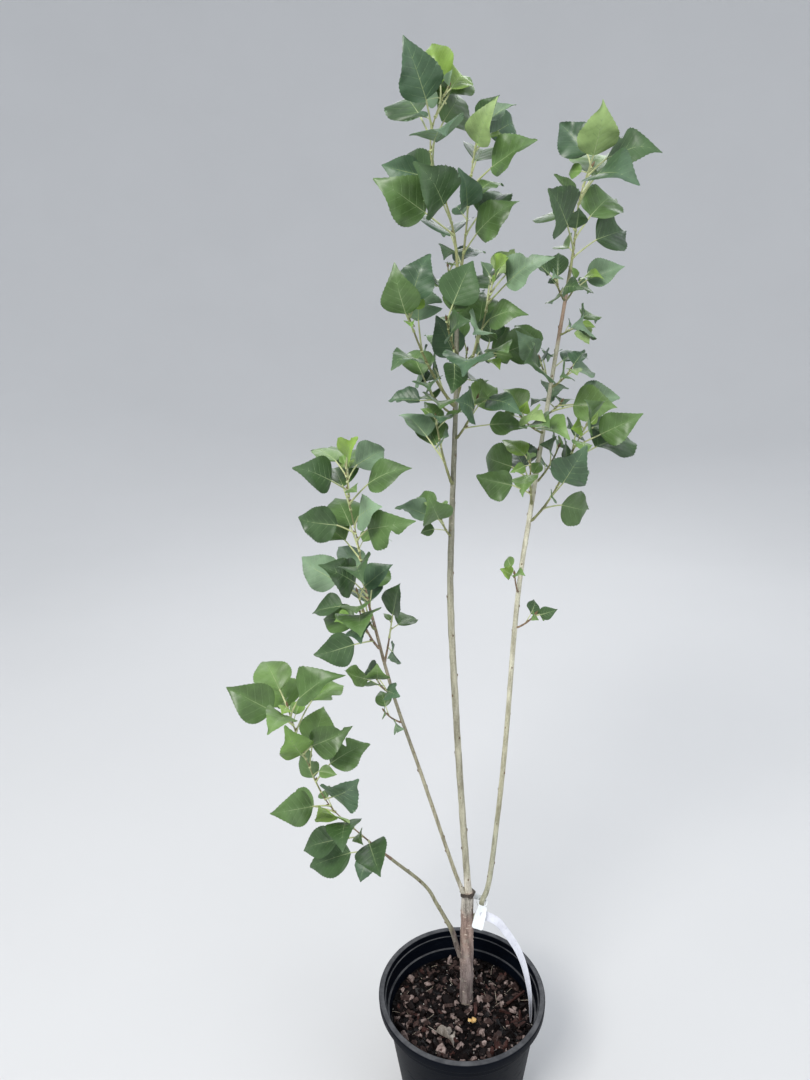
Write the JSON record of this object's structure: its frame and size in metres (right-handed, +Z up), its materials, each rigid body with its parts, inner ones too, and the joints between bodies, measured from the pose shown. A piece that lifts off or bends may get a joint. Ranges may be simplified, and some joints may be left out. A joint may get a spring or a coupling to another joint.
{
  "type": "young black poplar in a nursery pot",
  "caption": "Young multi-stemmed broadleaf tree, pruned low and regrown as slender leafy stems, in a round black nursery pot of bark compost with a plain white label.",
  "frame": {"origin": "centre of the pot's flat underside, which stands on the ground", "axes": "+Z up, +X to the right and +Y away from the viewer in the picture's view"},
  "size_m": [0.4729, 0.2505, 1.3167],
  "materials": {
    "pot_plastic": "matt black moulded plastic, lightly scuffed",
    "compost": "moist dark brown bark compost",
    "trunk_bark": "smooth grey-brown bark with small pale lenticels",
    "stem_bark": "smooth buff young bark, redder towards the tips",
    "leaf": "mid to dark green, slightly glossy above and matt grey-green below",
    "label_plastic": "plain white semi-gloss plastic"
  },
  "bodies": {
    "root": {"compost": "compost", "foliage_left_back": "leaf", "foliage_left_leader_low": "leaf", "foliage_left_leader_mid": "leaf", "foliage_left_leader_top": "leaf", "foliage_left_small": "leaf", "foliage_left_spur_high": "leaf", "foliage_left_spur_low": "leaf", "foliage_left_spur_mid": "leaf", "foliage_low_leader_foot": "leaf", "foliage_low_leader_mid": "leaf", "foliage_low_leader_top": "leaf", "foliage_low_leader_upper": "leaf", "foliage_middle_back_high": "leaf", "foliage_middle_back_mid": "leaf", "foliage_middle_front": "leaf", "foliage_middle_high_low": "leaf", "foliage_middle_high_top": "leaf", "foliage_middle_left_high": "leaf", "foliage_middle_left_long": "leaf", "foliage_middle_left_low": "leaf", "foliage_middle_left_mid": "leaf", "foliage_middle_left_top": "leaf", "foliage_middle_low_spur": "leaf", "foliage_middle_right_low": "leaf", "foliage_middle_right_mid": "leaf", "foliage_middle_right_spur": "leaf", "foliage_middle_right_top": "leaf", "foliage_right_back": "leaf", "foliage_right_high_left": "leaf", "foliage_right_high_right": "leaf", "foliage_right_leader_low": "leaf", "foliage_right_leader_top": "leaf", "foliage_right_left_low": "leaf", "foliage_right_left_mid": "leaf", "foliage_right_left_up": "leaf", "foliage_right_long_low": "leaf", "foliage_right_long_top": "leaf", "foliage_right_low_spur": "leaf", "foliage_right_mid_low": "leaf", "foliage_right_mid_spur": "leaf", "foliage_right_small_left": "leaf", "foliage_right_small_right": "leaf", "foliage_right_up_spur": "leaf", "label": "label_plastic", "pot": "pot_plastic", "stem_left": "stem_bark", "stem_low": "stem_bark", "stem_middle": "stem_bark", "stem_right": "stem_bark", "trunk": "trunk_bark"}
  },
  "joints": []
}
